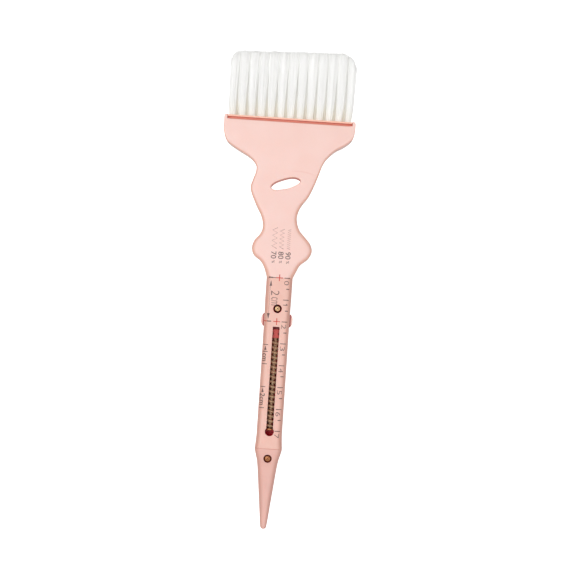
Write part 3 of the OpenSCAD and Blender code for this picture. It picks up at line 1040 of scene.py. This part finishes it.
class Print:
    """Collects flat shapes of (x, station), and lays them on the front surface as thin ink."""

    def __init__(self):
        self.points, self.faces = [], []

    def add(self, points, faces):
        start = len(self.points)
        self.points += list(points)
        self.faces += [tuple(start + v for v in f) for f in faces]

    def polygon(self, points):
        self.add(points, [range(len(points))])

    def box(self, low_x, high_x, low_s, high_s):
        self.polygon([(low_x, low_s), (high_x, low_s), (high_x, high_s), (low_x, high_s)])

    def tick(self, low_x, high_x, station, width):
        """A short line across the brush."""
        self.box(low_x, high_x, station - width / 2, station + width / 2)

    def arrow(self, x, tip, foot, width):
        self.polygon([(x, tip), (x - width / 2, foot), (x + width / 2, foot)])

    def cross(self, x, station, arm, width):
        """A plus sign."""
        h = width / 2
        corner = [(h, h), (h, arm), (-h, arm)]
        ways = [(1, 0), (0, 1), (-1, 0), (0, -1)]
        self.polygon(
            [(x + c * u - s * v, station + s * u + c * v) for c, s in ways for u, v in corner]
        )

    def ribbon(self, path, width):
        """A line of even width along a path."""
        p = np.array(path, float)
        along = unit(np.gradient(p, axis=0))
        across = np.c_[-along[:, 1], along[:, 0]] * width / 2
        n = len(p)
        self.add([*(p + across), *(p - across)], [(i, i + 1, n + i + 1, n + i) for i in range(n - 1)])

    def text(self, words, x, station, height, length, thin=THIN):
        """Words that read towards the tail, with their tops to the right, centred on a point."""
        curve = bpy.data.curves.new("words", "FONT")
        curve.body = words
        curve.offset = -thin
        holder = in_scene("words", curve)
        mesh = final_mesh(holder)
        flat = np.array([v.co[:2] for v in mesh.vertices])
        low, high = flat.min(0), flat.max(0)
        wide, tall = length / (high[0] - low[0]), height / (high[1] - low[1])
        middle = (low + high) / 2
        placed = [(x + (v - middle[1]) * tall, station - (u - middle[0]) * wide) for u, v in flat]
        self.add(placed, [tuple(f.vertices) for f in mesh.polygons])
        bpy.data.objects.remove(holder)
        bpy.data.curves.remove(curve)
        bpy.data.meshes.remove(mesh)

    def lay(self, name, material):
        """Slices the shapes finely enough to follow the surface, and makes them closed and thin."""
        mesh = bpy.data.meshes.new(name)
        mesh.from_pydata([(x, s, 0) for x, s in self.points], [], self.faces)
        bm = bmesh.new()
        bm.from_mesh(mesh)
        bmesh.ops.remove_doubles(bm, verts=bm.verts, dist=0.002)
        bmesh.ops.dissolve_degenerate(bm, edges=bm.edges, dist=0.002)
        for cut in np.arange(UPPER_HALF - EDGE_R, UPPER_HALF, 0.25):
            for x in (-cut, cut):
                everything = bm.verts[:] + bm.edges[:] + bm.faces[:]
                bmesh.ops.bisect_plane(bm, geom=everything, plane_co=(x, 0, 0), plane_no=(1, 0, 0))
        flat, tops = bm.verts[:], [tuple(f.verts) for f in bm.faces]
        rims = [(e.verts[0], e.verts[1]) for e in bm.edges if e.is_boundary]
        low = {}
        for v in flat:
            at, normal = surface_point(v.co.x, v.co.y)
            low[v] = bm.verts.new(at - normal * INK_OUT)
            v.co = at + normal * INK_OUT
        for corners in tops:
            bm.faces.new([low[v] for v in corners[::-1]])
        for a, b in rims:
            bm.faces.new((a, b, low[b], low[a]))
        bmesh.ops.triangulate(bm, faces=bm.faces)
        bmesh.ops.recalc_face_normals(bm, faces=bm.faces)
        bm.to_mesh(mesh)
        bm.free()
        finish_piece(in_scene(name, mesh), name, material, crease=50)


def make_scale():
    """Centimetres and half centimetres down the right side, with their numbers."""
    ink = Print()
    for half in range(HALF_CENTIMETRES):
        s = ZERO_AT - half * CM / 2
        if half % 2:
            ink.tick(*HALF_LINE, s, 0.4)
            continue
        ink.tick(*CM_LINE, s, 0.36)
        if half == 2:
            ink.ribbon([(2.3, s - 2.3), (4.4, s - 2.3)], 0.3)
            ink.ribbon([(4.4, s - 2.3), (3.75, s - 1.75)], 0.3)
        else:
            ink.text(str(half // 2), 3.35, s - 2.2, 2.1, 1.9)
    ink.lay("scale_print", DARK_INK)


def make_gauges():
    """The long 2 cm dimension beside the upper screw, and two short ones beside the window."""
    ink = Print()
    ink.tick(-4.9, -2.9, ZERO_AT, 0.48)
    ink.tick(-2.9, -1.5, ZERO_AT, 0.28)
    ink.tick(-4.4, -2.5, TWO_AT, 0.44)
    ink.arrow(-3.7, ZERO_AT - 1.2, ZERO_AT - 3.9, 1.1)
    ink.arrow(-4.0, TWO_AT + 0.9, TWO_AT + 3.6, 1.3)
    ink.box(-3.95, -3.85, TWO_AT + 3.6, ZERO_AT - 3.9)
    ink.text("2", -1.5, 108.4, 3.7, 2.1)
    ink.text("cm", -1.7, 104.65, 2.8, 3.7)
    for words, low, high in SHORT_GAUGES:
        ink.tick(*GAUGE_LINE, low, 0.32)
        ink.tick(*GAUGE_LINE, high, 0.32)
        ink.arrow(-4.3, high - 0.5, high - 2.5, 1.0)
        ink.text(words, -4.3, (low + high) / 2 - 0.9, 2.3, high - low - 4.2, BOLD)
    ink.lay("gauge_print", DARK_INK)


def make_crosses():
    """A plus sign at each end of the long dimension, and the outer end of its lower line."""
    ink = Print()
    ink.cross(0, ZERO_AT, 1.55, 0.42)
    ink.cross(0, TWO_AT, 1.55, 0.38)
    ink.tick(-5.75, -4.4, TWO_AT, 0.4)
    ink.lay("cross_print", RED_INK)


def make_lobe_print():
    """Three numbers with percent signs on the lobes, and a wave of a different pitch above each."""
    numbers, waves = Print(), Print()
    for words, x, pitch, reach in LOBE_MARKS:
        numbers.text(words, x, NUMBERS_AT, 2.4, 3.3, SEMI_BOLD)
        numbers.text("%", x, PERCENTS_AT, 1.3, 1.2, SEMI_BOLD)
        turns = range(round(WAVE_L / (pitch / 2)) + 1)
        path = [(x + reach * (-1) ** i, WAVES_FROM + i * pitch / 2) for i in turns]
        waves.ribbon(path, 0.26)
    numbers.lay("lobe_numbers", DARK_INK)
    waves.lay("lobe_waves", PALE_INK)


# ---- camera, floor and light
CAMERA_UP = 450
VIEW_W = 263.6
VIEW_X, VIEW_Y = 5.1, 0.2
VIEW_TURN = 3.81
SENSOR = 36
# Half width of the floor and radius of the backdrop, in metres, and how much each glows
FLOOR_HALF, BACKDROP_R = 3.0, 2.5
FLOOR_GLOW, BACKDROP_GLOW = 0.85, 1.0
# Soft panels: name, place and size in metres, and power in watts
LIGHTS = [("key", (-0.42, 0.1, 1.05), 0.8, 4.6), ("fill", (0.4, -0.3, 1.0), 0.9, 2.0)]
# Brightness of the studio by height: (from, to, value at from, value at to), added up
WORLD_BANDS = [(-0.4, 0.05, 0.36, 0), (0, 0.8, 0.32, 0.64)]


def make_camera():
    """Straight down, turned so that the brush leans a little to the right."""
    data = bpy.data.cameras.new("camera")
    data.sensor_width = SENSOR
    data.lens = SENSOR * CAMERA_UP / VIEW_W
    data.clip_start, data.clip_end = 0.01, 10
    camera = in_scene("camera", data)
    camera.location = Vector((VIEW_X, VIEW_Y, DEPTH + CAMERA_UP)) * MM
    camera.rotation_euler = (0, 0, math.radians(VIEW_TURN))
    bpy.context.scene.camera = camera


def stage_white(glow):
    """A matt white that glows by itself."""
    return Nodes(
        "stage white",
        Base_Color=(0.9, 0.9, 0.9, 1),
        Roughness=0.9,
        Specular_IOR_Level=0.0,
        Emission_Color=(1, 1, 1, 1),
        Emission_Strength=glow,
    ).material


def make_floor():
    """A pale floor, which adds no light of its own to the brush."""
    mesh = bpy.data.meshes.new("floor")
    h = FLOOR_HALF
    mesh.from_pydata([(-h, -h, 0), (h, -h, 0), (h, h, 0), (-h, h, 0)], [], [range(4)])
    floor = in_scene("floor", mesh)
    mesh.materials.append(stage_white(FLOOR_GLOW))
    floor.visible_diffuse = floor.visible_glossy = False


def make_backdrop():
    """A wide pale dome, which only the camera sees, so that low views have no horizon."""
    level = np.c_[np.cos(around(96)), np.sin(around(96)), np.zeros(96)]
    rises = np.radians(np.linspace(-1, 89, 31))
    rings = [level * math.cos(up) + (0, 0, math.sin(up)) for up in rises]
    dome = skin(rings, closed_ends=False)
    dome.name = "backdrop"
    dome.data.transform(Matrix.Scale(BACKDROP_R, 4))
    dome.data.materials.append(stage_white(BACKDROP_GLOW))
    dome.visible_diffuse = dome.visible_glossy = dome.visible_transmission = dome.visible_shadow = False


def make_light(name, place, size, power):
    """A large soft panel aimed at the brush."""
    data = bpy.data.lights.new(name, "AREA")
    data.shape = "DISK"
    data.size = size
    data.energy = power
    light = in_scene(name, data)
    light.location = place
    light.rotation_euler = (-Vector(place)).to_track_quat("-Z", "Y").to_euler()


def make_world():
    """A plain studio: bright overhead and over the pale floor, dimmer between the two."""
    world = bpy.data.worlds.new("studio")
    bpy.context.scene.world = world
    world.use_nodes = True
    studio = Tree(world.node_tree)
    height = studio.axis(studio.add("TexCoord").outputs["Generated"], "Z")
    strength = studio.maths("ADD", *[studio.spread(height, *band) for band in WORLD_BANDS])
    background = studio.tree.nodes["Background"]
    background.inputs["Color"].default_value = (1, 1, 1, 1)
    studio.tree.links.new(strength, background.inputs["Strength"])


make_camera()
make_floor()
make_backdrop()
for panel in LIGHTS:
    make_light(*panel)
make_world()
bpy.context.scene.view_settings.view_transform = "Standard"

make_head()
make_block()
make_bristles()
make_shells()
make_tail()
make_screw("upper_screw", UPPER_SCREW_AT, UPPER_SEAT, UPPER_SHANK, UPPER_HEAD_R, BRASS)
make_screw("lower_screw", LOWER_SCREW_AT, LOWER_SEAT, LOWER_SHANK, LOWER_HEAD_R, OLD_BRASS)
make_spring()
make_slide()
dress_cad_nodes()
make_scale()
make_gauges()
make_crosses()
make_lobe_print()
